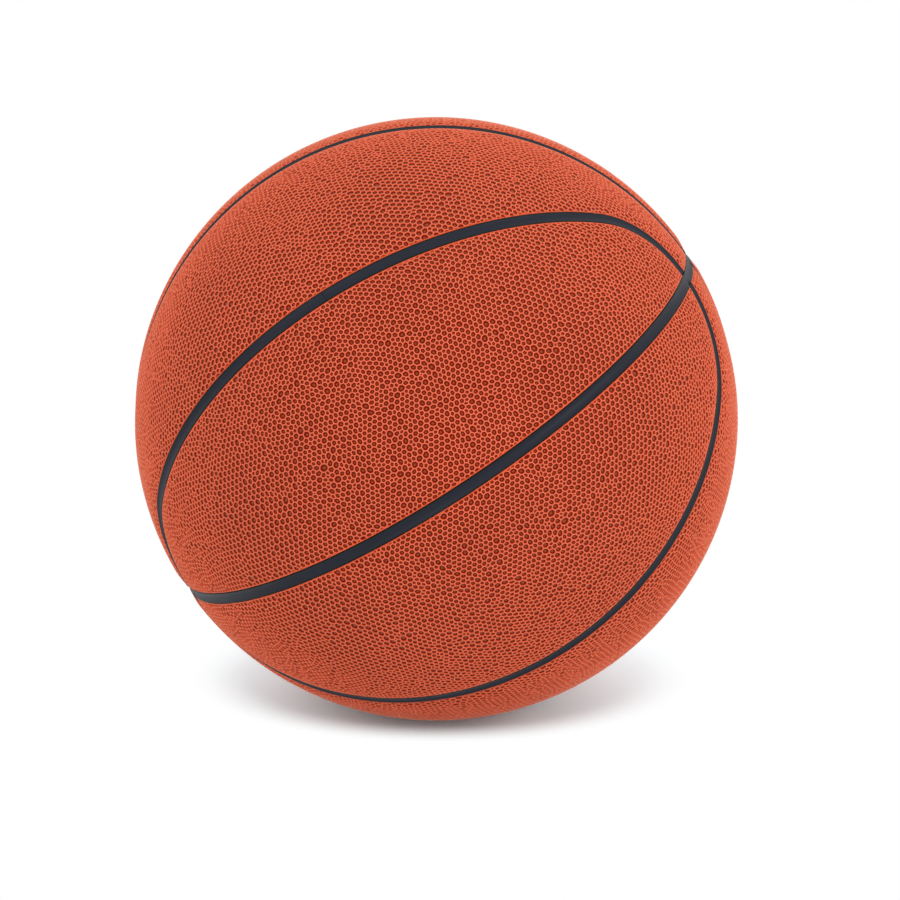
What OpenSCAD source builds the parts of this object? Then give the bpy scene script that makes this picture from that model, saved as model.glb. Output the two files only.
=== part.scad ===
// Match ball for basketball, built up in layers round an air bladder.
// Millimetres. The origin is the centre of the ball and +Z is up as the ball lies.

/* [Ball] */
// Diameter over the crowns of the cover panels
ball_d = 242; // [190:1:250]

/* [Wall, from outside to inside] */
// Thickness of the composite leather skin of a cover panel
skin_t = 1.2; // [0.8:0.1:2]
// Thickness of the foam backing that fills a cover panel
backing_t = 1.6; // [1.4:0.1:3]
// Thickness of the moulded rubber carcass
carcass_t = 1.0; // [0.6:0.1:3]
// Thickness of the wound nylon thread layer
winding_t = 0.5; // [0.3:0.1:2]
// Thickness of the butyl bladder
bladder_t = 0.6; // [0.4:0.1:2]
// Film of glue or powder between neighbouring layers
film = 0.05; // [0.02:0.01:0.1]

/* [Channels] */
// Width of the rubber strip in a channel
strip_w = 5.6; // [4:0.1:8]
// Depth of the strip's middle below the crowns of the panels
channel_depth = 1.4; // [1:0.05:2.2]
// Depth of the strip's edges below the crowns
strip_drop = 0.5; // [0.4:0.05:0.8]
// Width of the flat rim along each edge of a strip
strip_rim = 0.25; // [0.15:0.05:0.6]
// Width of the shoulder over which a panel falls away to its edge
shoulder_run = 5; // [3:0.1:7]
// Radius of that shoulder
shoulder_r = 25; // [20:0.5:40]
// How far the shoulder stops short of a smooth run-out, so that its start stays a clean line
shoulder_lift = 0.03; // [0.02:0.01:0.06]

/* [Seam layout, in degrees seen from the centre] */
// From the through seam to the side of an oval seam
oval_side_deg = 45.6; // [40:0.1:50]
// Radius of the round end of an oval seam
oval_end_deg = 27; // [20:0.1:34]

/* [Valve] */
// Place of the valve, off the through seam at the back
valve_off_deg = 21; // [14:0.5:30]
// Diameter of the hole in the wall that the valve's neck fills
neck_d = 7; // [5:0.1:12]
// Diameter of the valve's flange inside the bladder
flange_d = 24; // [16:0.5:40]
// Thickness of the valve's flange
flange_t = 1.6; // [0.8:0.1:4]
// Diameter of the self-sealing plug
plug_d = 4.4; // [3.4:0.1:4.8]
// Diameter of the bulb that locks the plug at its inner end
bulb_d = 6.4; // [5.5:0.1:9]
// Length of the plug
plug_l = 16; // [12:0.5:24]
// Height of the plug's locking bulb
bulb_h = 3; // [2:0.1:4]
// Bore that grips the inflating needle
needle_d = 2.0; // [1.6:0.05:2.6]
// Length of closed rubber lips beyond the needle's bore
lips_l = 2; // [1:0.5:4]
// Depth of the valve's face below the crown of its panel
valve_recess = 0.6; // [0.3:0.1:1.2]
// Diameter of the shallow lead-in cup round the needle's bore
cup_d = 3.4; // [2.8:0.1:4]
// Depth of the lead-in cup
cup_h = 0.5; // [0.2:0.1:1]

/* [How the ball lies] */
// Turn about X, then Y, then Z, from the seams' own frame to the resting ball
lie_x = 32.8; // [-180:0.1:180]
// Second turn
lie_y = -1.4; // [-180:0.1:180]
// Third turn
lie_z = -88.9; // [-180:0.1:180]

/* [Hidden] */
// In the seams' own frame X points at the middle of the front oval, Y at the crossing of the two
// great-circle seams, and Z stands square on the through seam.
$fn = 72;
// Facets round the ball in a strip's cross-section and in an oval strip, and round its valley
section_fn = 2 * $fn;
oval_strip_fn = 1.5 * $fn;
valley_fn = 48;
// How far cutting tools run past what they cut
over = 1;
// The round end of an oval channel laps a little into its side, and is narrower there by a ledge
lap_deg = 0.3;
ledge = 0.02;
// A valley that crosses the through strip is shallower there by a sill
sill = 0.05;

// Radii of the layers
ball_r = ball_d / 2;
carcass_r = ball_r - skin_t - backing_t - 2 * film;
winding_r = carcass_r - carcass_t - film;
bladder_r = winding_r - winding_t - film;
bladder_in_r = bladder_r - bladder_t;
strip_top_r = ball_r - strip_drop;
strip_low_r = carcass_r + film;
panel_low_r = carcass_r + film;
reach = ball_r + over;

// Radius of the valley in a strip's face, from the valley's width and depth
valley_w = strip_w - 2 * strip_rim;
valley_h = channel_depth - strip_drop;
valley_r = (pow(valley_w / 2, 2) + pow(valley_h, 2)) / (2 * valley_h);

// How far a panel's foam stays back from its edge: to where the shoulder has lost half the skin
foam_edge = max(skin_t, shoulder_run - sqrt(shoulder_r * skin_t - pow(skin_t / 2, 2)));

// Where the centre of an oval's round end lies along the through seam, how far the oval's side
// runs before that end begins, and how far round the end reaches from its tip
end_place_deg = acos(sin(oval_end_deg) / sin(oval_side_deg));
side_run_deg = atan2(sin(end_place_deg), cos(end_place_deg) * cos(oval_side_deg));
end_run_deg = acos(sin(oval_side_deg) * sin(end_place_deg) / cos(oval_end_deg));

// Radii at which the valve's neck and plug start and stop
valve_face_r = ball_r - valve_recess;
flange_top_r = bladder_in_r - film;
plug_low_r = valve_face_r - plug_l;

// Colours, as the ball shows them
leather_colour = "#C8502F";
backing_colour = "#D8CDB8";
strip_colour = "#23262C";
carcass_colour = "#2B2B2E";
winding_colour = "#E9E6DC";
bladder_colour = "#3A3A3C";
valve_colour = "#17181A";

// From the seams' frame to the ball as it lies
module as_it_lies() {
    rotate([lie_x, lie_y, lie_z]) children();
}

// A hollow ball
module shell(outer_r, inner_r) {
    difference() {
        sphere(r = outer_r);
        sphere(r = inner_r);
    }
}

// Cross-section of the space over a strip, which the shoulders of two panels leave
module groove_section(narrower) {
    half_w = strip_w / 2 + film - narrower;
    start_y = half_w + shoulder_run;
    start_x = sqrt(pow(ball_r - shoulder_r, 2) - pow(start_y, 2)) + shoulder_lift;
    low_x = carcass_r - over;
    difference() {
        translate([low_x, -start_y]) square([reach - low_x, 2 * start_y]);
        for (side = [-1, 1]) intersection() {
            translate([start_x, side * start_y]) circle(r = shoulder_r);
            translate([low_x - over, side > 0 ? half_w : -start_y - over])
                square([reach, shoulder_run + over]);
        }
    }
}

// Cross-section of the shallow valley in a strip's face
module valley_section(shallower) {
    translate([ball_r - channel_depth + valley_r, 0]) circle(r = valley_r - shallower, $fn = valley_fn);
}

// Cross-section of a strip, curved with the ball
module strip_section() {
    difference() {
        intersection() {
            difference() {
                circle(r = strip_top_r, $fn = section_fn);
                circle(r = strip_low_r, $fn = section_fn);
            }
            translate([0, -strip_w / 2]) square([reach, strip_w]);
        }
        valley_section(0);
    }
}

// Sweeps a section along a circle on the ball: round Z, at a radius of ring_deg seen from the
// centre, through run_deg to either side of X
module along_circle(ring_deg, run_deg) {
    rotate([0, 0, -run_deg])
        rotate_extrude(angle = 2 * run_deg)
            rotate(90 - ring_deg) children();
}

module along_through_seam() {
    along_circle(90, 180) children();
}

module along_cross_seam() {
    rotate([0, 90, 0]) along_circle(90, 180) children();
}

// The side of the upper half of the front oval
module along_oval_side() {
    rotate([0, -oval_side_deg, 0]) along_circle(90, side_run_deg) children();
}

// The round end of the front oval towards +Y or -Y, running a little way into its side
module along_oval_end(end, extra_deg) {
    rotate([0, 0, end * end_place_deg]) rotate([0, 90, 0]) rotate([0, 0, end * 90])
        along_circle(oval_end_deg, end_run_deg + extra_deg) children();
}

// Everything above the plane z = low, in a frame of its own
module above(low) {
    translate([-reach, -reach, low]) cube([2 * reach, 2 * reach, 2 * reach]);
}

// All that lies beyond the plane in which the oval's side turns into its round end
module beyond_side(end) {
    rotate([0, -oval_side_deg, 0]) rotate([0, 0, end * side_run_deg]) rotate([-90 * end, 0, 0])
        above(0);
}

// The cone that the round end of the oval draws from the centre, grown by grow all round
module end_cone(end, grow) {
    back = grow / sin(oval_end_deg);
    low = reach / 2;
    tall = 2 * reach;
    rotate([0, 0, end * end_place_deg]) rotate([0, 90, 0]) translate([0, 0, low - back])
        cylinder(h = tall - low, r1 = low * tan(oval_end_deg), r2 = tall * tan(oval_end_deg));
}

// What lies outside the round end, as far as the ball's wall goes
module outside_end(end, grow) {
    difference() {
        beyond_side(end);
        end_cone(end, grow);
    }
}

// Everything on the oval's side of its upper great circle, with the circle moved out by grow
module below_side(grow) {
    rotate([0, -oval_side_deg, 0]) rotate([180, 0, 0]) above(-grow);
}

// The upper quarter of the ball in front of the cross seam, brought in by inset
module quarter_space(inset) {
    translate([inset, -reach, inset]) cube([2 * reach, 2 * reach, 2 * reach]);
}

// The wall of the panels with its channels cut in it
module oval_wall() {
    difference() {
        difference() {
            difference() {
                shell(ball_r, panel_low_r);
                along_through_seam() groove_section(0);
            }
            along_oval_side() groove_section(0);
        }
        for (end = [-1, 1]) along_oval_end(end, lap_deg) groove_section(ledge);
    }
}

// What a panel's foam fills: the wall below its skin, with square edges, brought in by a
// gap and reaching in to low_r
module oval_pad(gap, low_r) {
    edge_in = strip_w / 2 + film + foam_edge + gap;
    difference() {
        intersection() {
            shell(ball_r - skin_t - gap, low_r);
            above(edge_in);
            below_side(-edge_in);
        }
        for (end = [-1, 1]) outside_end(end, -edge_in - ledge);
    }
}

module side_pad(gap, low_r) {
    edge_in = strip_w / 2 + film + foam_edge + gap;
    difference() {
        intersection() {
            shell(ball_r - skin_t - gap, low_r);
            quarter_space(edge_in);
        }
        difference() {
            below_side(edge_in);
            for (end = [-1, 1]) outside_end(end, edge_in - ledge);
        }
    }
}

// Axis of the valve, in the seams' frame turned to the front oval's upper half
module on_valve_axis() {
    rotate([0, 90 - valve_off_deg, 0]) children();
}

module valve_hole() {
    on_valve_axis() cylinder(h = reach, r = neck_d / 2 + film);
}

// Front upper panels: each other panel is one of these, turned over to its own quarter
module oval_skin() {
    difference() {
        intersection() {
            oval_wall();
            above(0);
            below_side(ledge);
        }
        for (end = [-1, 1]) outside_end(end, 0);
        oval_pad(0, panel_low_r - over);
    }
}

module side_skin() {
    difference() {
        intersection() {
            difference() {
                oval_wall();
                along_cross_seam() groove_section(0);
            }
            quarter_space(0);
        }
        difference() {
            below_side(ledge);
            for (end = [-1, 1]) outside_end(end, 0);
        }
        side_pad(0, panel_low_r - over);
    }
}

module oval_backing() {
    oval_pad(film, panel_low_r);
}

module side_backing() {
    side_pad(film, panel_low_r);
}

// Half turns that carry the front upper quarter to the others
module to_front_upper() { children(); }
module to_front_lower() { rotate([180, 0, 0]) children(); }
module to_back_upper() { rotate([0, 0, 180]) children(); }
module to_back_lower() { rotate([0, 180, 0]) children(); }

// The tip of the front oval's round end, where it crosses the through seam
module along_oval_tip(end) {
    run_deg = asin((strip_w / 2 + over) / (carcass_r * sin(oval_end_deg)));
    rotate([0, 0, end * end_place_deg]) rotate([0, 90, 0]) rotate([0, 0, end * 90])
        along_circle(oval_end_deg, run_deg) children();
}

// Strips. The through strip is whole, and the others butt against its sides, where their valleys
// run on across it.
module strip_through() {
    color(strip_colour) as_it_lies() difference() {
        along_through_seam() strip_section();
        along_cross_seam() valley_section(sill);
        for (half = [0, 180], end = [-1, 1])
            rotate([0, 0, half]) along_oval_tip(end) valley_section(sill);
    }
}

module above_through_strip() {
    above(strip_w / 2 + film);
}

module cross_strip() {
    intersection() {
        along_cross_seam() strip_section();
        above_through_strip();
    }
}

module oval_strip() {
    side_in = strip_w / 2;
    difference() {
        intersection() {
            shell(strip_top_r, strip_low_r, $fn = oval_strip_fn);
            above_through_strip();
            below_side(side_in);
        }
        for (end = [-1, 1]) outside_end(end, side_in - ledge);
        difference() {
            below_side(-side_in);
            for (end = [-1, 1]) outside_end(end, -side_in - ledge);
        }
        along_oval_side() valley_section(0);
        for (end = [-1, 1]) along_oval_end(end, lap_deg) valley_section(ledge);
    }
}

module strip_cross_upper() { color(strip_colour) as_it_lies() cross_strip(); }
module strip_cross_lower() { color(strip_colour) as_it_lies() to_front_lower() cross_strip(); }
module strip_oval_front_upper() { color(strip_colour) as_it_lies() to_front_upper() oval_strip(); }
module strip_oval_front_lower() { color(strip_colour) as_it_lies() to_front_lower() oval_strip(); }
module strip_oval_back_upper() { color(strip_colour) as_it_lies() to_back_upper() oval_strip(); }
module strip_oval_back_lower() { color(strip_colour) as_it_lies() to_back_lower() oval_strip(); }

// Cover panels
module panel_front_upper() { color(leather_colour) as_it_lies() to_front_upper() oval_skin(); }
module panel_front_lower() { color(leather_colour) as_it_lies() to_front_lower() oval_skin(); }
module panel_back_upper() {
    color(leather_colour) as_it_lies() to_back_upper() difference() {
        oval_skin();
        valve_hole();
    }
}
module panel_back_lower() { color(leather_colour) as_it_lies() to_back_lower() oval_skin(); }
module panel_side_front_upper() { color(leather_colour) as_it_lies() to_front_upper() side_skin(); }
module panel_side_front_lower() { color(leather_colour) as_it_lies() to_front_lower() side_skin(); }
module panel_side_back_upper() { color(leather_colour) as_it_lies() to_back_upper() side_skin(); }
module panel_side_back_lower() { color(leather_colour) as_it_lies() to_back_lower() side_skin(); }

// Foam backings inside the panels
module backing_front_upper() { color(backing_colour) as_it_lies() to_front_upper() oval_backing(); }
module backing_front_lower() { color(backing_colour) as_it_lies() to_front_lower() oval_backing(); }
module backing_back_upper() {
    color(backing_colour) as_it_lies() to_back_upper() difference() {
        oval_backing();
        valve_hole();
    }
}
module backing_back_lower() { color(backing_colour) as_it_lies() to_back_lower() oval_backing(); }
module backing_side_front_upper() { color(backing_colour) as_it_lies() to_front_upper() side_backing(); }
module backing_side_front_lower() { color(backing_colour) as_it_lies() to_front_lower() side_backing(); }
module backing_side_back_upper() { color(backing_colour) as_it_lies() to_back_upper() side_backing(); }
module backing_side_back_lower() { color(backing_colour) as_it_lies() to_back_lower() side_backing(); }

// Inner layers, each with a hole for the valve's neck
module pierced_shell(outer_r, inner_r) {
    as_it_lies() to_back_upper() difference() {
        shell(outer_r, inner_r);
        valve_hole();
    }
}

module carcass() { color(carcass_colour) pierced_shell(carcass_r, carcass_r - carcass_t); }
module winding() { color(winding_colour) pierced_shell(winding_r, winding_r - winding_t); }
module bladder() { color(bladder_colour) pierced_shell(bladder_r, bladder_in_r); }

// Valve seat: a neck through the wall, with a flange inside the bladder. Its top follows the ball.
module valve_seat() {
    bore_r = plug_d / 2 + film;
    bulb_r = bulb_d / 2 + film;
    color(valve_colour) as_it_lies() to_back_upper() on_valve_axis() difference() {
        union() {
            cylinder(h = valve_face_r, r = neck_d / 2);
            intersection() {
                sphere(r = flange_top_r);
                cylinder(h = reach, r = flange_d / 2);
            }
        }
        sphere(r = flange_top_r - flange_t);
        cylinder(h = reach, r = bore_r);
        cylinder(h = plug_low_r + bulb_h + film, r = bulb_r);
    }
}

// Self-sealing plug, locked by its bulb, with a blind bore for the needle
module valve_plug() {
    color(valve_colour) as_it_lies() to_back_upper() on_valve_axis() difference() {
        union() {
            translate([0, 0, plug_low_r]) cylinder(h = plug_l, r = plug_d / 2);
            translate([0, 0, plug_low_r]) cylinder(h = bulb_h, r = bulb_d / 2);
        }
        translate([0, 0, plug_low_r + lips_l]) cylinder(h = plug_l, r = needle_d / 2);
        translate([0, 0, valve_face_r - cup_h]) cylinder(h = cup_h + over, r = cup_d / 2);
    }
}

bladder();
valve_seat();
valve_plug();
winding();
carcass();
strip_through();
strip_cross_upper();
strip_cross_lower();
strip_oval_front_upper();
strip_oval_front_lower();
strip_oval_back_upper();
strip_oval_back_lower();
backing_front_upper();
backing_front_lower();
backing_back_upper();
backing_back_lower();
backing_side_front_upper();
backing_side_front_lower();
backing_side_back_upper();
backing_side_back_lower();
panel_front_upper();
panel_front_lower();
panel_back_upper();
panel_back_lower();
panel_side_front_upper();
panel_side_front_lower();
panel_side_back_upper();
panel_side_back_lower();
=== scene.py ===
import math
import random
import bmesh
import bpy
from mathutils import Euler, Matrix, Vector


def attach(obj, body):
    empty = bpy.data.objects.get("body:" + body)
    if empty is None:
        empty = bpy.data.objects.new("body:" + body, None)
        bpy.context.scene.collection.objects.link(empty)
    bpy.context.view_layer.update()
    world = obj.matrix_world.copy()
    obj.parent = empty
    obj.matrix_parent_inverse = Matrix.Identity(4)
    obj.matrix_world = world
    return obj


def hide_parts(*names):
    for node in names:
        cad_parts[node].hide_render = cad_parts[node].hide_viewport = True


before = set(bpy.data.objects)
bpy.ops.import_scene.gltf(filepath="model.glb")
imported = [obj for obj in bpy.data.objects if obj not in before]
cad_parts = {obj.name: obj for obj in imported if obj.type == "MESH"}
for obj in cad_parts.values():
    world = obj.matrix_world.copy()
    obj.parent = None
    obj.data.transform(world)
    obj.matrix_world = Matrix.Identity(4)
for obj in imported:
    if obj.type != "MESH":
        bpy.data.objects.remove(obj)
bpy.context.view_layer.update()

print("frame loaded,", len(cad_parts), "nodes")

# Lengths in metres and angles in degrees. The channels are a little narrower and lower than the
# CAD model's, and the rest follows it
ball = {
    "radius": 0.121,
    "ovalSide": 45.6,
    "ovalEnd": 27.0,
    "lie": (32.8, -1.4, -88.9),
    "valveOff": 21.0,
    "valveHole": 0.00355,
}
channel = {
    "half": 0.00272,            # from a seam's middle to the edge of a panel
    "shoulderRun": 0.005,
    "shoulderRadius": 0.025,
    "shoulderLift": 0.00003,
    "lip": 0.00018,             # radius of a panel's cut edge
    "lipLoops": (1.0, 0.4, 0.1, 0.0),  # where loops of edges lie on it, as shares of that radius
    "wallShadeTop": 0.1201,         # height below which the panels' side walls carry painted shade
    "foot": 0.1182,             # where those walls end
}

# How near counts as the same place when faces are cut, points merged and a line's points picked
tolerance = {"cut": 1e-8, "merge": 1e-7, "line": 1e-6}

deg = math.radians
lieTurn = Euler([deg(a) for a in ball["lie"]], "XYZ").to_matrix()
sideRad = deg(ball["ovalSide"])
endRad = deg(ball["ovalEnd"])
endPlace = math.acos(math.sin(endRad) / math.sin(sideRad))
sideRun = math.atan2(math.sin(endPlace), math.cos(endPlace) * math.cos(sideRad))
endRun = math.acos(math.sin(sideRad) * math.sin(endPlace) / math.cos(endRad))

# Directions in the seams' own frame: X at the middle of the front oval, Z square on the through seam
throughNormal = Vector((0, 0, 1))
crossNormal = Vector((1, 0, 0))
sideNormal = Vector((-math.sin(sideRad), 0, math.cos(sideRad)))
endCentre = {s: Vector((math.cos(endPlace), s * math.sin(endPlace), 0)) for s in (1, -1)}
tangentPoint = {s: Vector((math.cos(sideRun) * math.cos(sideRad), s * math.sin(sideRun),
                           math.cos(sideRun) * math.sin(sideRad))) for s in (1, -1)}
turnNormal = {s: s * tangentPoint[s].cross(endCentre[s]).normalized() for s in (1, -1)}
for s in (1, -1):  # each looks outwards, past the round end
    if turnNormal[s].dot(Vector((0, s, 0))) < 0:
        turnNormal[s] = -turnNormal[s]

quarterTurns = {
    "front_upper": Matrix.Identity(3),
    "front_lower": Matrix.Rotation(math.pi, 3, "X"),
    "back_upper": Matrix.Rotation(math.pi, 3, "Z"),
    "back_lower": Matrix.Rotation(math.pi, 3, "Y"),
}


def toScene(bm, quarter):
    turn = (lieTurn @ quarterTurns[quarter]).to_4x4()
    bmesh.ops.transform(bm, matrix=turn, verts=bm.verts)


def makeObject(bm, name, material, smooth=True):
    mesh = bpy.data.meshes.new(name)
    bm.to_mesh(mesh)
    bm.free()
    if smooth:
        mesh.shade_smooth()
    mesh.materials.append(material)
    piece = bpy.data.objects.new(name, mesh)
    bpy.context.scene.collection.objects.link(piece)
    return piece


# Materials
def newMaterial(name):
    material = bpy.data.materials.new(name)
    material.use_nodes = True
    tree = material.node_tree
    shader = tree.nodes["Principled BSDF"]
    return material, tree, shader


def addNode(tree, kind, values=None, **settings):
    node = tree.nodes.new(kind)
    for key, value in settings.items():
        setattr(node, key, value)
    for key, value in (values or {}).items():
        node.inputs[key].default_value = value
    return node


def addGroup(tree, group, values):
    node = tree.nodes.new("ShaderNodeGroup")
    node.node_tree = group
    for key, value in values.items():
        node.inputs[key].default_value = value
    return node


def newGroup(name, inputs, outputs):
    group = bpy.data.node_groups.new(name, "ShaderNodeTree")
    for label, kind, value in inputs:
        socket = group.interface.new_socket(label, in_out="INPUT", socket_type=kind)
        socket.default_value = value
    for label, kind in outputs:
        group.interface.new_socket(label, in_out="OUTPUT", socket_type=kind)
    entry = group.nodes.new("NodeGroupInput")
    result = group.nodes.new("NodeGroupOutput")
    return group, entry, result


def makeGrainGroup():
    # Fine grain: a normal and a small change of roughness
    group, entry, result = newGroup(
        "surfaceGrain",
        [("Scale", "NodeSocketFloat", 900.0), ("Height", "NodeSocketFloat", 0.2),
         ("Roughness", "NodeSocketFloat", 0.5), ("Spread", "NodeSocketFloat", 0.1)],
        [("Normal", "NodeSocketVector"), ("Roughness", "NodeSocketFloat")])
    place = addNode(group, "ShaderNodeTexCoord")
    fine = addNode(group, "ShaderNodeTexNoise", {"Detail": 4.0, "Roughness": 0.6})
    wide = addNode(group, "ShaderNodeTexNoise", {"Scale": 60.0, "Detail": 2.0})
    bump = addNode(group, "ShaderNodeBump", {"Distance": 0.0001})
    shift = addNode(group, "ShaderNodeMath", {1: 0.5}, operation="SUBTRACT")
    spread = addNode(group, "ShaderNodeMath", operation="MULTIPLY_ADD")
    link = group.links.new
    link(place.outputs["Object"], fine.inputs["Vector"])
    link(place.outputs["Object"], wide.inputs["Vector"])
    link(entry.outputs["Scale"], fine.inputs["Scale"])
    link(fine.outputs["Fac"], bump.inputs["Height"])
    link(entry.outputs["Height"], bump.inputs["Strength"])
    link(wide.outputs["Fac"], shift.inputs[0])
    link(shift.outputs[0], spread.inputs[0])
    link(entry.outputs["Spread"], spread.inputs[1])
    link(entry.outputs["Roughness"], spread.inputs[2])
    link(bump.outputs["Normal"], result.inputs["Normal"])
    link(spread.outputs[0], result.inputs["Roughness"])
    return group


def makeMottleGroup():
    # Slow change of a colour over the surface, with a lighter and a darker side
    group, entry, result = newGroup(
        "colourMottle",
        [("Colour", "NodeSocketColor", (0.5, 0.5, 0.5, 1)), ("Scale", "NodeSocketFloat", 20.0),
         ("Amount", "NodeSocketFloat", 0.1)],
        [("Colour", "NodeSocketColor")])
    place = addNode(group, "ShaderNodeTexCoord")
    cloud = addNode(group, "ShaderNodeTexNoise", {"Detail": 3.0, "Roughness": 0.55})
    centred = addNode(group, "ShaderNodeMath", {1: 0.5}, operation="SUBTRACT")
    scaled = addNode(group, "ShaderNodeMath", operation="MULTIPLY")
    level = addNode(group, "ShaderNodeMath", {1: 1.0}, operation="ADD")
    shade = addNode(group, "ShaderNodeHueSaturation")
    link = group.links.new
    link(place.outputs["Object"], cloud.inputs["Vector"])
    link(entry.outputs["Scale"], cloud.inputs["Scale"])
    link(cloud.outputs["Fac"], centred.inputs[0])
    link(centred.outputs[0], scaled.inputs[0])
    link(entry.outputs["Amount"], scaled.inputs[1])
    link(scaled.outputs[0], level.inputs[0])
    link(level.outputs[0], shade.inputs["Value"])
    link(entry.outputs["Colour"], shade.inputs["Color"])
    link(shade.outputs["Color"], result.inputs["Colour"])
    return group


grainGroup = makeGrainGroup()
mottleGroup = makeMottleGroup()


def linkGrain(tree, shader, values):
    grain = addGroup(tree, grainGroup, values)
    tree.links.new(grain.outputs["Normal"], shader.inputs["Normal"])
    tree.links.new(grain.outputs["Roughness"], shader.inputs["Roughness"])


leather = {
    # Colour against the pit value: 0 on a ridge's crest, then its brow, the slope and the pit's floor,
    # dark with dye and with painted shade of its steep walls, and 1 in the pit's middle, lighter with a
    # painted highlight
    "pitDyeShadeAndHighlight": ((0.0, (0.79, 0.222, 0.142, 1)), (0.16, (0.66, 0.102, 0.041, 1)),
              (0.44, (0.58, 0.068, 0.020, 1)), (0.55, (0.150, 0.0030, 0.0002, 1)),
              (0.74, (0.150, 0.0030, 0.0002, 1)), (1.0, (0.34, 0.078, 0.021, 1))),
    "plain": 0.22,       # the pit value of smooth leather, beside seams and the valve
    "mottle": {"Scale": 26.0, "Amount": 0.16},
    "speckle": {"Scale": 330.0, "Amount": 0.30},
    "grain": {"Scale": 2600.0, "Height": 0.25, "Roughness": 0.56, "Spread": 0.16},
    "specular": 0.03,
    "sheen": 0.60,
    "sheenRoughness": 0.45,
    "sheenTint": (1.0, 0.62, 0.46, 1),
}


def makeLeather():
    material, tree, shader = newMaterial("pebbledLeather")
    link = tree.links.new
    pit = addNode(tree, "ShaderNodeAttribute", attribute_name="pit")
    # Ramp of dye, with painted shade on the pits' floors and a painted highlight in their middles
    ramp = addNode(tree, "ShaderNodeValToRGB")
    stops = ramp.color_ramp.elements
    stops[0].position, stops[0].color = leather["pitDyeShadeAndHighlight"][0]
    stops[1].position, stops[1].color = leather["pitDyeShadeAndHighlight"][-1]
    for position, colour in leather["pitDyeShadeAndHighlight"][1:-1]:
        stops.new(position).color = colour
    mottle = addGroup(tree, mottleGroup, leather["mottle"])
    speckle = addGroup(tree, mottleGroup, leather["speckle"])
    link(pit.outputs["Fac"], ramp.inputs["Fac"])
    link(ramp.outputs["Color"], mottle.inputs["Colour"])
    link(mottle.outputs["Colour"], speckle.inputs["Colour"])
    link(speckle.outputs["Colour"], shader.inputs["Base Color"])
    linkGrain(tree, shader, leather["grain"])
    shader.inputs["Specular IOR Level"].default_value = leather["specular"]
    shader.inputs["Sheen Weight"].default_value = leather["sheen"]
    shader.inputs["Sheen Roughness"].default_value = leather["sheenRoughness"]
    shader.inputs["Sheen Tint"].default_value = leather["sheenTint"]
    return material


rubber = {
    "face": (0.0064, 0.0092, 0.0190, 1),
    # Painted shade for the crease along each edge of a strip, also the colour of the dark line where a
    # strip closes
    "creaseShadeAndJoint": (0.0012, 0.0013, 0.0020, 1),
    "creaseShadeAndJointStop": 0.9,   # the value at which the rubber's painted crease shade is darkest
    "mottle": {"Scale": 40.0, "Amount": 0.5},
    "grain": {"Scale": 1500.0, "Height": 0.3, "Roughness": 0.5, "Spread": 0.14},
    "specular": 0.24,
}


def makeRubber():
    # Dark rubber of the channels, with painted shade in the crease along each edge, and the same darkest
    # colour on the line where a strip closes
    material, tree, shader = newMaterial("channelRubber")
    link = tree.links.new
    creaseShadeAndJoint = addNode(tree, "ShaderNodeAttribute", attribute_name="creaseShadeAndJoint")
    ramp = addNode(tree, "ShaderNodeValToRGB")
    ends = ramp.color_ramp.elements
    ends[0].color = rubber["face"]
    ends[1].color = rubber["creaseShadeAndJoint"]
    ends[1].position = rubber["creaseShadeAndJointStop"]
    mottle = addGroup(tree, mottleGroup, rubber["mottle"])
    link(creaseShadeAndJoint.outputs["Fac"], ramp.inputs["Fac"])
    link(ramp.outputs["Color"], mottle.inputs["Colour"])
    link(mottle.outputs["Colour"], shader.inputs["Base Color"])
    linkGrain(tree, shader, rubber["grain"])
    shader.inputs["Specular IOR Level"].default_value = rubber["specular"]
    return material


# Finishes of the layers inside: colour, its mottle, and the grain
plainFinishes = {
    "panelFoam": {"colour": (0.66, 0.60, 0.50, 1), "mottle": 0.25,
                  "grain": {"Scale": 1200.0, "Height": 0.9, "Roughness": 0.9, "Spread": 0.14}},
    "carcassRubber": {"colour": (0.026, 0.026, 0.028, 1), "mottle": 0.4,
                      "grain": {"Scale": 800.0, "Height": 0.5, "Roughness": 0.7, "Spread": 0.14}},
    "bladderButyl": {"colour": (0.012, 0.012, 0.013, 1), "mottle": 0.4,
                     "grain": {"Scale": 500.0, "Height": 0.2, "Roughness": 0.45, "Spread": 0.14}},
    "valveRubber": {"colour": (0.010, 0.010, 0.012, 1), "mottle": 0.3,
                    "grain": {"Scale": 1800.0, "Height": 0.3, "Roughness": 0.5, "Spread": 0.14}},
}
plainMottleScale = 30.0


def makePlainFinish(name):
    finish = plainFinishes[name]
    material, tree, shader = newMaterial(name)
    tone = addGroup(tree, mottleGroup, {"Colour": finish["colour"], "Scale": plainMottleScale,
                                        "Amount": finish["mottle"]})
    tree.links.new(tone.outputs["Colour"], shader.inputs["Base Color"])
    linkGrain(tree, shader, finish["grain"])
    return material


thread = {
    "slants": ((0.3, 0.0, 0.2), (1.2, 0.5, 1.1), (-0.9, 0.8, 2.2)),
    "wave": {"Scale": 260.0, "Distortion": 1.5, "Detail": 1.0},
    "between": (0.42, 0.40, 0.34, 1),
    "crest": (0.80, 0.78, 0.70, 1),
    "bump": {"Strength": 0.6, "Distance": 0.0002},
    "roughness": 0.6,
}


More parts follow.
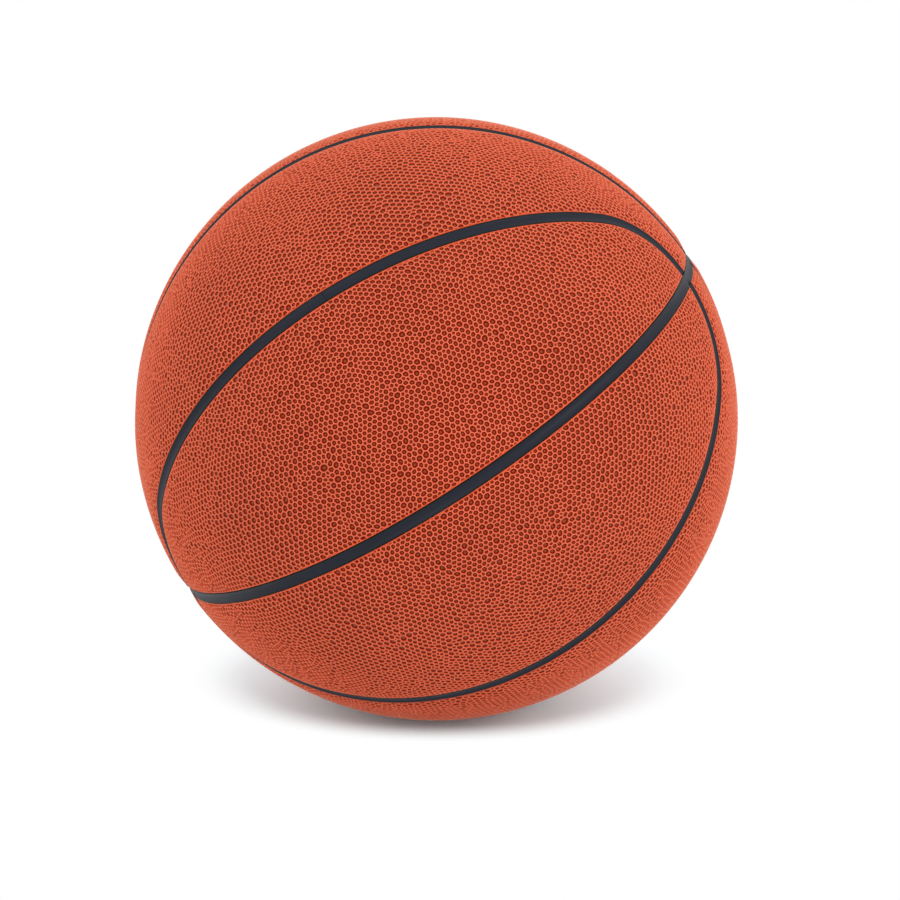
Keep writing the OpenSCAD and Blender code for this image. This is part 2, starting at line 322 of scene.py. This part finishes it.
def makeThread():
    # Wound thread: three families of fine turns at different slants
    material, tree, shader = newMaterial("woundThread")
    link = tree.links.new
    place = addNode(tree, "ShaderNodeTexCoord")
    last = None
    for slant in thread["slants"]:
        turned = addNode(tree, "ShaderNodeMapping", {"Rotation": slant})
        wave = addNode(tree, "ShaderNodeTexWave", thread["wave"])
        link(place.outputs["Object"], turned.inputs["Vector"])
        link(turned.outputs["Vector"], wave.inputs["Vector"])
        if last is None:
            last = wave.outputs["Fac"]
        else:
            join = addNode(tree, "ShaderNodeMath", operation="MAXIMUM")
            link(last, join.inputs[0])
            link(wave.outputs["Fac"], join.inputs[1])
            last = join.outputs[0]
    ramp = addNode(tree, "ShaderNodeValToRGB")
    ramp.color_ramp.elements[0].color = thread["between"]
    ramp.color_ramp.elements[1].color = thread["crest"]
    bump = addNode(tree, "ShaderNodeBump", thread["bump"])
    link(last, ramp.inputs["Fac"])
    link(last, bump.inputs["Height"])
    link(ramp.outputs["Color"], shader.inputs["Base Color"])
    link(bump.outputs["Normal"], shader.inputs["Normal"])
    shader.inputs["Roughness"].default_value = thread["roughness"]
    return material


leatherFinish = makeLeather()
stripFinish = makeRubber()
foamFinish = makePlainFinish("panelFoam")
carcassFinish = makePlainFinish("carcassRubber")
butylFinish = makePlainFinish("bladderButyl")
valveFinish = makePlainFinish("valveRubber")
threadFinish = makeThread()
print("materials made")

# Pebbled cover
pebbles = {
    "start": 2,          # subdivisions of the start ball
    "cuts": 31,          # in each of its edges, which sets the pebbles' pitch
    "jitter": 0.50,      # how far a cell's middle moves before the cells settle, in pitches
    "settle": (2, 0.6),  # rounds, and share of each step towards the neighbours
    "ridge": 0.00016,    # half the width of the ridge between two pits
    "slope": 0.00020,    # width of a pit's slope
    "foot": 0.2,         # pit value where the ridge ends
    "floor": 0.6,        # pit value where the slope ends
    "middle": 0.9,       # only the middle of a pit has a value above this
    "depth": 0.00062,
    "curve": 1.5,        # power by which the slope steepens
    "boss": 0.15,        # how far a pit's middle rises again, as a share of its depth
    "fadeIn": (0.0001, 0.0009),     # from a panel's edge, where pits grow to their full depth
    "valveFade": (0.0028, 0.0045),  # the same from the valve's hole
    "wall": (0.6, 0.7),  # pit values at the top and foot of a panel's side wall, which paint shade on it
    "spare": 0.013,      # how far past a panel's edge cells are kept before the cut, in radians
    "reach": 0.02,       # how far past a cut along a seam faces are looked at, in radians
    "seed": 11,
}


def makeCellBall():
    # Cells of an uneven honeycomb over the whole ball, from a ball of triangles and its turned edges
    bm = bmesh.new()
    bmesh.ops.create_icosphere(bm, subdivisions=pebbles["start"], radius=ball["radius"])
    bmesh.ops.subdivide_edges(bm, edges=bm.edges[:], cuts=pebbles["cuts"], use_grid_fill=True)
    pitch = math.sqrt(4 * math.pi * ball["radius"] ** 2 / len(bm.verts) * 2 / math.sqrt(3))
    rng = random.Random(pebbles["seed"])
    middles = bm.verts[:]
    for v in middles:
        step = Vector((rng.gauss(0, 1), rng.gauss(0, 1), rng.gauss(0, 1))).normalized()
        step *= rng.random() ** 0.5 * pebbles["jitter"] * pitch
        v.co = v.co.normalized() * ball["radius"] + step
        v.co = v.co.normalized() * ball["radius"]
    # Edges are turned to the shorter way between rounds, so most cells have five to seven sides
    rounds, share = pebbles["settle"]
    for _ in range(rounds):
        bmesh.ops.beautify_fill(bm, faces=bm.faces[:], edges=bm.edges[:], method="ANGLE")
        bmesh.ops.smooth_vert(bm, verts=middles, factor=share,
                              use_axis_x=True, use_axis_y=True, use_axis_z=True)
        for v in middles:
            v.co = v.co.normalized() * ball["radius"]
    bmesh.ops.beautify_fill(bm, faces=bm.faces[:], edges=bm.edges[:], method="ANGLE")
    cellEdges = bm.edges[:]
    bmesh.ops.poke(bm, faces=bm.faces[:], center_mode="MEAN")
    bmesh.ops.rotate_edges(bm, edges=cellEdges, use_ccw=False)
    bmesh.ops.dissolve_verts(bm, verts=middles)
    print("cells:", len(bm.faces), "pitch %.2f mm" % (pitch * 1000))
    return bm


def ovalAngle(u):
    # Angle into the oval from its seam, negative outside
    for s in (1, -1):
        if u.dot(turnNormal[s]) > 0:
            return endRad - u.angle(endCentre[s])
    return -math.asin(max(-1, min(1, u.dot(sideNormal))))


def seamAngle(u, kind):
    # Smallest angle into a panel of this kind from the seams that bound it, negative outside
    across = math.asin(max(-1, min(1, u.z)))
    if kind == "oval":
        return min(across, ovalAngle(u))
    return min(across, math.asin(max(-1, min(1, u.x))), -ovalAngle(u))


# Centre of the shoulders' arc, measured along and aside of the direction to a seam
startX = math.sqrt((ball["radius"] - channel["shoulderRadius"]) ** 2
                   - (channel["half"] + channel["shoulderRun"]) ** 2) + channel["shoulderLift"]
startY = channel["half"] + channel["shoulderRun"]
startFar = math.hypot(startX, startY)
edgeAngle = math.asin(channel["half"] / ball["radius"])


def shoulderHeight(angle):
    # Distance from the centre to the cover, in a direction at this angle from the nearest seam
    turn = angle - math.atan2(startY, startX)
    if turn >= 0:
        return ball["radius"]
    across = startFar * math.cos(turn)
    under = across ** 2 - startFar ** 2 + channel["shoulderRadius"] ** 2
    return min(ball["radius"], across + math.sqrt(under))


def lipDrop(inside):
    # How far the rounded edge of a panel has fallen, this far inside the edge
    lip = channel["lip"]
    back = lip - max(0.0, min(lip, inside))
    return lip - math.sqrt(lip ** 2 - back ** 2)


def easeBetween(value, ends):
    share = max(0.0, min(1.0, (value - ends[0]) / (ends[1] - ends[0])))
    return share * share * (3 - 2 * share)


def cutAlong(bm, faces, point, normal):
    verts = {v for f in faces for v in f.verts}
    edges = {e for f in faces for e in f.edges}
    bmesh.ops.bisect_plane(bm, geom=list(verts) + list(edges) + list(faces), dist=tolerance["cut"],
                           plane_co=point, plane_no=normal)


def cutSeams(bm, kind, angle):
    # A loop of edges all along the seams that bound a panel, at this angle inside their middles
    radius = ball["radius"]
    reach = angle + pebbles["reach"]
    side = 1 if kind == "oval" else -1
    close = [f for f in bm.faces if f.calc_center_median().z < radius * reach]
    cutAlong(bm, close, throughNormal * radius * math.sin(angle), throughNormal)
    if kind == "side":
        close = [f for f in bm.faces if f.calc_center_median().x < radius * reach]
        cutAlong(bm, close, crossNormal * radius * math.sin(angle), crossNormal)
    close = [f for f in bm.faces if abs(ovalAngle(f.calc_center_median())) < reach]
    parts = {0: [], 1: [], -1: []}
    for f in close:
        u = f.calc_center_median()
        end = 1 if u.dot(turnNormal[1]) > 0 else -1 if u.dot(turnNormal[-1]) > 0 else 0
        parts[end].append(f)
    cutAlong(bm, parts[0], -side * sideNormal * radius * math.sin(angle), sideNormal)
    for s in (1, -1):
        cutAlong(bm, parts[s], endCentre[s] * radius * math.cos(endRad - side * angle), endCentre[s])


valveAxis = Vector((math.cos(deg(ball["valveOff"])), 0, math.sin(deg(ball["valveOff"]))))
valveCut = {
    "sides": 28,
    "lipLoops": (1.0, 0.3, 0.0),  # as for the panels' edges
    "reach": 0.35,                # how near a side's middle faces are cut, as a share of the hole
}


def cutValveHole(bm):
    # Straight cuts tangent to the hole, and the faces between them taken out
    top = valveAxis * ball["radius"]
    first = valveAxis.orthogonal().normalized()
    for share in valveCut["lipLoops"]:
        wide = ball["valveHole"] + channel["lip"] * share
        for i in range(valveCut["sides"]):
            out = Matrix.Rotation(2 * math.pi * i / valveCut["sides"], 3, valveAxis) @ first
            close = [f for f in bm.faces
                     if (f.calc_center_median() - top - out * wide).length < wide * valveCut["reach"]]
            cutAlong(bm, close, top + out * wide, out)
    spare = [f for f in bm.faces if (f.calc_center_median() - top).length < ball["valveHole"]]
    bmesh.ops.delete(bm, geom=spare, context="FACES")


def makePanel(cells, kind, pierced=False):
    radius = ball["radius"]
    bm = cells.copy()
    away = [f for f in bm.faces
            if seamAngle(f.calc_center_median().normalized(), kind) < edgeAngle - pebbles["spare"]]
    bmesh.ops.delete(bm, geom=away, context="FACES")
    # Ridge, slope and middle of each pit
    pit = bm.verts.layers.float.new("pit")
    floors = bm.faces[:]
    bmesh.ops.inset_individual(bm, faces=floors, thickness=pebbles["ridge"], use_even_offset=True)
    for f in floors:
        for v in f.verts:
            v[pit] = pebbles["foot"]
    bmesh.ops.inset_individual(bm, faces=floors, thickness=pebbles["slope"], use_even_offset=True)
    for f in floors:
        for v in f.verts:
            v[pit] = pebbles["floor"]
    made = bmesh.ops.poke(bm, faces=floors, center_mode="MEAN")
    for v in made["verts"]:
        v[pit] = 1.0
    # The oval's seam turns from a great circle into its round ends, so the cover is parted there
    for s in (1, -1):
        close = [f for f in bm.faces
                 if abs(ovalAngle(f.calc_center_median())) < edgeAngle + pebbles["reach"]]
        cutAlong(bm, close, Vector(), turnNormal[s])
    for share in channel["lipLoops"]:
        cutSeams(bm, kind, edgeAngle + share * channel["lip"] / radius)
    spare = [f for f in bm.faces if seamAngle(f.calc_center_median().normalized(), kind) < edgeAngle]
    bmesh.ops.delete(bm, geom=spare, context="FACES")
    if pierced:
        cutValveHole(bm)
    # Shoulders, rounded edges and sunk pits
    for v in bm.verts:
        u = v.co.normalized()
        angle = seamAngle(u, kind)
        inside = (angle - edgeAngle) * radius
        level = easeBetween(inside, pebbles["fadeIn"])
        if pierced:
            aside = u.angle(valveAxis) * radius - ball["valveHole"]
            level *= easeBetween(aside, pebbles["valveFade"])
            inside = min(inside, aside)
        sink = pebbles["depth"] * level * min(1.0, v[pit] / pebbles["floor"]) ** pebbles["curve"]
        if v[pit] > pebbles["middle"]:
            sink *= 1 - pebbles["boss"]
        v[pit] = leather["plain"] + (v[pit] - leather["plain"]) * level
        v.co = u * (shoulderHeight(angle) - lipDrop(inside) - sink)
    # Side walls down to the carcass, with painted shade below the edge
    rim = [e for e in bm.edges if e.is_boundary]
    for height, shade in zip((channel["wallShadeTop"], channel["foot"]), pebbles["wall"]):
        made = bmesh.ops.extrude_edge_only(bm, edges=rim)
        rim = [e for e in made["geom"] if isinstance(e, bmesh.types.BMEdge)]
        for v in {v for e in rim for v in e.verts}:
            v.co = v.co.normalized() * height
            v[pit] = shade
    bmesh.ops.recalc_face_normals(bm, faces=bm.faces[:])
    return bm


def addPanel(bm, kind, quarter, node):
    turned = bm.copy()
    toScene(turned, quarter)
    panel = makeObject(turned, "cover_" + kind + "_" + quarter, leatherFinish)
    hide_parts(node)
    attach(panel, "root")
    print(node, "done,", len(panel.data.polygons), "faces")


cellBall = makeCellBall()
ovalPanel = makePanel(cellBall, "oval")
piercedPanel = makePanel(cellBall, "oval", pierced=True)
sidePanel = makePanel(cellBall, "side")
for quarter in quarterTurns:
    addPanel(piercedPanel if quarter == "back_upper" else ovalPanel, "oval", quarter, "panel_" + quarter)
    addPanel(sidePanel, "side", quarter, "panel_side_" + quarter)
for bm in (cellBall, ovalPanel, piercedPanel, sidePanel):
    bm.free()

# Strips, spun along their seams
strip = {
    "half": 0.00252,                 # half the width
    "low": 0.11815,                  # height of the underside
    "top": 0.1203,                   # height of the face along its edges
    "middle": 0.1195,                # height of the face in its valley
    "faceLow": 0.1193,               # all points of the face lie above this height
    "valleyReach": 0.1,              # no valley is as far from its seam, in radians
    "rim": 0.00030,                  # width of the flat rim beside the valley
    "bevel": (0.00022, 0.0005),      # width and depth of the crease along each edge
    "creaseShadeFade": (0.0002, 0.0008),  # from the strip's edge, where its painted shade ends
    "joint": (0.00022, 0.00025),     # half the width, and the depth, of the line where it closes
    "jointPlace": 0.3,               # degrees along the oval's side from its middle
    "jointReach": 0.004,             # faces this near are cut for that line
    "step": 0.6,                     # degrees a step
    "points": 11,                    # across the valley
}
valleyHalf = strip["half"] - strip["rim"]
valleyDepth = strip["top"] - strip["middle"]
valleyRadius = (valleyHalf ** 2 + valleyDepth ** 2) / (2 * valleyDepth)
valleyMiddle = strip["middle"] + valleyRadius


def valleyHeight(angle):
    # Distance from the centre to a strip's face, in a direction at this angle from its seam
    across = valleyMiddle * math.cos(angle)
    under = valleyRadius ** 2 - (valleyMiddle * math.sin(angle)) ** 2
    if under <= 0 or angle > strip["valleyReach"]:
        return strip["top"]
    return min(strip["top"], across - math.sqrt(under))


def stripHeight(u):
    # The valleys run on across one another, so the lowest one counts
    folded = Vector((abs(u.x), u.y, abs(u.z)))
    angles = (math.asin(min(1, folded.z)), math.asin(min(1, folded.x)), abs(ovalAngle(folded)))
    return min(valleyHeight(angle) for angle in angles)


def stripProfile(bm, centre, axis):
    # Cross-section of a strip at a place on its seam, as a closed loop round its face and underside
    out = centre.normalized()
    across = axis.normalized()
    across = (across - out * across.dot(out)).normalized()
    half, top = strip["half"], strip["top"]
    creaseShadeAndJoint = bm.verts.layers.float.new("creaseShadeAndJoint")
    wide, deep = strip["bevel"]
    shares = [2 * i / (strip["points"] - 1) - 1 for i in range(strip["points"])]
    chain = [(strip["low"], -half), (top - deep, -half), (top, -half + wide)]
    chain += [(top, valleyHalf * share) for share in shares]
    chain += [(top, half - wide), (top - deep, half), (strip["low"], half)]
    verts = []
    for r, y in chain:
        a = math.asin(y / r)
        v = bm.verts.new(out * r * math.cos(a) + across * r * math.sin(a))
        # Painted shade, darkest at the strip's edge
        v[creaseShadeAndJoint] = 1 - easeBetween(half - abs(y), strip["creaseShadeFade"])
        verts.append(v)
    edges = [bm.edges.new((verts[i], verts[i - 1])) for i in range(len(verts))]
    return verts + edges


def spinOn(bm, geom, axis, angle):
    steps = max(2, round(math.degrees(abs(angle)) / strip["step"]))
    made = bmesh.ops.spin(bm, geom=geom, cent=(0, 0, 0), axis=axis, angle=angle, steps=steps,
                          use_merge=False, use_duplicate=False)
    return made["geom_last"]


def addJoint(bm):
    # A fine line across the face, in the middle of the oval's side
    wide, deep = strip["joint"]
    along = Matrix.Rotation(deg(strip["jointPlace"]), 3, sideNormal) @ Vector((0, 1, 0))
    for share in (-1, 0, 1):
        close = [f for f in bm.faces if abs(f.calc_center_median().dot(along)) < strip["jointReach"]]
        cutAlong(bm, close, along * wide * share, along)
    creaseShadeAndJoint = bm.verts.layers.float["creaseShadeAndJoint"]
    for v in bm.verts:
        if abs(v.co.dot(along)) < tolerance["line"] and v.co.length > strip["faceLow"]:
            v.co -= v.co.normalized() * deep
            v[creaseShadeAndJoint] = 1.0


def finishStrip(bm, quarter, jointed=False):
    bmesh.ops.remove_doubles(bm, verts=bm.verts, dist=tolerance["merge"])
    for v in bm.verts:
        height = v.co.length
        if height > strip["middle"]:
            u = v.co.normalized()
            v.co = u * (height + stripHeight(u) - strip["top"])
    if jointed:
        addJoint(bm)
    bmesh.ops.recalc_face_normals(bm, faces=bm.faces[:])
    toScene(bm, quarter)
    return bm


def makeThroughStrip():
    bm = bmesh.new()
    geom = stripProfile(bm, Vector((1, 0, 0)), Vector((0, 0, 1)))
    bmesh.ops.spin(bm, geom=geom, cent=(0, 0, 0), axis=(0, 0, 1), angle=2 * math.pi,
                   steps=round(360 / strip["step"]), use_merge=True, use_duplicate=False)
    return finishStrip(bm, "front_upper")


def closeAtThroughStrip(bm):
    # The strip's end butts against the side of the through strip
    cut = bmesh.ops.bisect_plane(bm, geom=bm.verts[:] + bm.edges[:] + bm.faces[:],
                                 dist=tolerance["cut"], plane_co=(0, 0, channel["half"]),
                                 plane_no=(0, 0, 1), clear_inner=True)
    edges = [e for e in cut["geom_cut"] if isinstance(e, bmesh.types.BMEdge)]
    bmesh.ops.holes_fill(bm, edges=edges, sides=0)


def makeCrossStrip(quarter):
    bm = bmesh.new()
    geom = stripProfile(bm, Vector((0, 1, 0)), Vector((1, 0, 0)))
    spinOn(bm, geom, Vector((1, 0, 0)), math.pi)
    closeAtThroughStrip(bm)
    return finishStrip(bm, quarter)


def makeOvalStrip(quarter):
    bm = bmesh.new()
    tip = Matrix.Rotation(-endRad, 3, "Z") @ endCentre[-1]
    geom = stripProfile(bm, tip, tip.cross(Vector((0, 0, 1))))
    for axis, angle in ((endCentre[-1], -endRun), (sideNormal, 2 * sideRun), (endCentre[1], -endRun)):
        geom = spinOn(bm, geom, axis, angle)
    closeAtThroughStrip(bm)
    return finishStrip(bm, quarter, jointed=True)


def addStrip(bm, node):
    piece = makeObject(bm, "channel_" + node[6:], stripFinish)
    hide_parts(node)
    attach(piece, "root")


addStrip(makeThroughStrip(), "strip_through")
addStrip(makeCrossStrip("front_upper"), "strip_cross_upper")
addStrip(makeCrossStrip("front_lower"), "strip_cross_lower")
for quarter in quarterTurns:
    addStrip(makeOvalStrip(quarter), "strip_oval_" + quarter)
print("strips done")

# Inner layers keep their CAD solids
innerFinishes = {
    "bladder": butylFinish, "winding": threadFinish, "carcass": carcassFinish,
    "valve_seat": valveFinish, "valve_plug": valveFinish,
}
for name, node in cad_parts.items():
    finish = innerFinishes.get(name, foamFinish if name.startswith("backing_") else None)
    if finish:
        for slot in node.material_slots:
            slot.material = finish

# Camera, floor and light
view = {
    "elevation": 17.0,
    "azimuth": -0.69,
    "distance": 2.904,
    "lens": 289.44,
    "sensor": 36,
    "clip": (0.05, 50),
    "right": 0.00555,  # how far right of the ball's middle the camera looks
    "down": 0.01251,   # and how far below it
}


def addCamera():
    up = deg(view["elevation"])
    about = deg(view["azimuth"])
    back = Vector((math.sin(about) * math.cos(up), -math.cos(about) * math.cos(up), math.sin(up)))
    turn = back.to_track_quat("Z", "Y")
    data = bpy.data.cameras.new("camera")
    data.lens = view["lens"]
    data.sensor_width = view["sensor"]
    camera = bpy.data.objects.new("camera", data)
    camera.rotation_mode = "QUATERNION"
    camera.rotation_quaternion = turn
    aim = turn @ Vector((view["right"], -view["down"], 0))
    camera.location = aim + back * view["distance"]
    data.clip_start, data.clip_end = view["clip"]
    bpy.context.scene.collection.objects.link(camera)
    bpy.context.scene.camera = camera


studio = {
    "floorSize": 12.0,
    "floorAlbedo": 0.80,
    "floorLight": (1.18, 1.36, 1.40, 1),
    # The camera sees lit floor round here, and plain white past it
    "shadowPlace": (-0.003, -0.040, 0),
    "shadowScale": (1, 1.2, 1),
    "shadowFade": (0.078, 0.106),
    "worldStrength": 1.02,
    # Place, sides and power of each lamp, all aimed at the ball
    "lamps": {
        "overhead": ((-0.2, -0.4, 1.5), (1.4, 1.4), 1.2),
        "left": ((-0.9, -1.7, 0.8), (1.2, 1.2), 6),
        "right": ((1.6, -1.2, 0.6), (1.2, 1.2), 10),
    },
}


def addLamp(name, place, size, power):
    data = bpy.data.lights.new(name, "AREA")
    data.shape = "RECTANGLE"
    data.size, data.size_y = size
    data.energy = power
    lamp = bpy.data.objects.new(name, data)
    lamp.location = place
    lamp.rotation_mode = "QUATERNION"
    lamp.rotation_quaternion = Vector(place).to_track_quat("Z", "Y")
    bpy.context.scene.collection.objects.link(lamp)


def addFloor():
    bm = bmesh.new()
    bmesh.ops.create_grid(bm, x_segments=1, y_segments=1, size=studio["floorSize"] / 2)
    bmesh.ops.translate(bm, vec=(0, 0, -ball["radius"]), verts=bm.verts)
    material = bpy.data.materials.new("studioFloor")
    material.use_nodes = True
    tree = material.node_tree
    tree.nodes.clear()
    link = tree.links.new
    rays = addNode(tree, "ShaderNodeLightPath")
    shown = addNode(tree, "ShaderNodeMath", operation="MAXIMUM")
    lit = addNode(tree, "ShaderNodeBsdfDiffuse", {"Color": studio["floorLight"]})
    white = addNode(tree, "ShaderNodeEmission", {"Color": (1, 1, 1, 1), "Strength": 1.0})
    plain = addNode(tree, "ShaderNodeBsdfDiffuse", {"Color": (studio["floorAlbedo"],) * 3 + (1,)})
    place = addNode(tree, "ShaderNodeTexCoord")
    shifted = addNode(tree, "ShaderNodeVectorMath", {1: studio["shadowPlace"]}, operation="ADD")
    scaled = addNode(tree, "ShaderNodeVectorMath", {1: studio["shadowScale"]}, operation="MULTIPLY")
    flat = addNode(tree, "ShaderNodeVectorMath", {1: (1, 1, 0)}, operation="MULTIPLY")
    aside = addNode(tree, "ShaderNodeVectorMath", operation="LENGTH")
    near, far = studio["shadowFade"]
    fadeRange = {"From Min": near, "From Max": far, "To Min": 1.0, "To Max": 0.0}
    fade = addNode(tree, "ShaderNodeMapRange", fadeRange, interpolation_type="SMOOTHSTEP")
    seen = addNode(tree, "ShaderNodeMixShader")
    pick = addNode(tree, "ShaderNodeMixShader")
    out = addNode(tree, "ShaderNodeOutputMaterial")
    link(rays.outputs["Is Camera Ray"], shown.inputs[0])
    link(rays.outputs["Is Glossy Ray"], shown.inputs[1])
    link(shown.outputs[0], pick.inputs[0])
    link(place.outputs["Object"], shifted.inputs[0])
    link(shifted.outputs[0], scaled.inputs[0])
    link(scaled.outputs[0], flat.inputs[0])
    link(flat.outputs[0], aside.inputs[0])
    link(aside.outputs["Value"], fade.inputs["Value"])
    link(fade.outputs[0], seen.inputs[0])
    link(white.outputs[0], seen.inputs[1])
    link(lit.outputs[0], seen.inputs[2])
    link(plain.outputs[0], pick.inputs[1])
    link(seen.outputs[0], pick.inputs[2])
    link(pick.outputs[0], out.inputs["Surface"])
    floor = makeObject(bm, "studio_floor", material, smooth=False)


def addWorld():
    world = bpy.data.worlds.new("studio")
    bpy.context.scene.world = world
    world.use_nodes = True
    tree = world.node_tree
    tree.nodes.clear()
    link = tree.links.new
    rays = addNode(tree, "ShaderNodeLightPath")
    light = addNode(tree, "ShaderNodeBackground",
                    {"Color": (1, 1, 1, 1), "Strength": studio["worldStrength"]})
    white = addNode(tree, "ShaderNodeBackground", {"Color": (1, 1, 1, 1), "Strength": 1.0})
    pick = addNode(tree, "ShaderNodeMixShader")
    out = addNode(tree, "ShaderNodeOutputWorld")
    link(rays.outputs["Is Camera Ray"], pick.inputs[0])
    link(light.outputs[0], pick.inputs[1])
    link(white.outputs[0], pick.inputs[2])
    link(pick.outputs[0], out.inputs["Surface"])


addCamera()
addFloor()
addWorld()
for name, (place, size, power) in studio["lamps"].items():
    addLamp(name, place, size, power)
bpy.context.scene.view_settings.view_transform = "Standard"
print("studio ready")
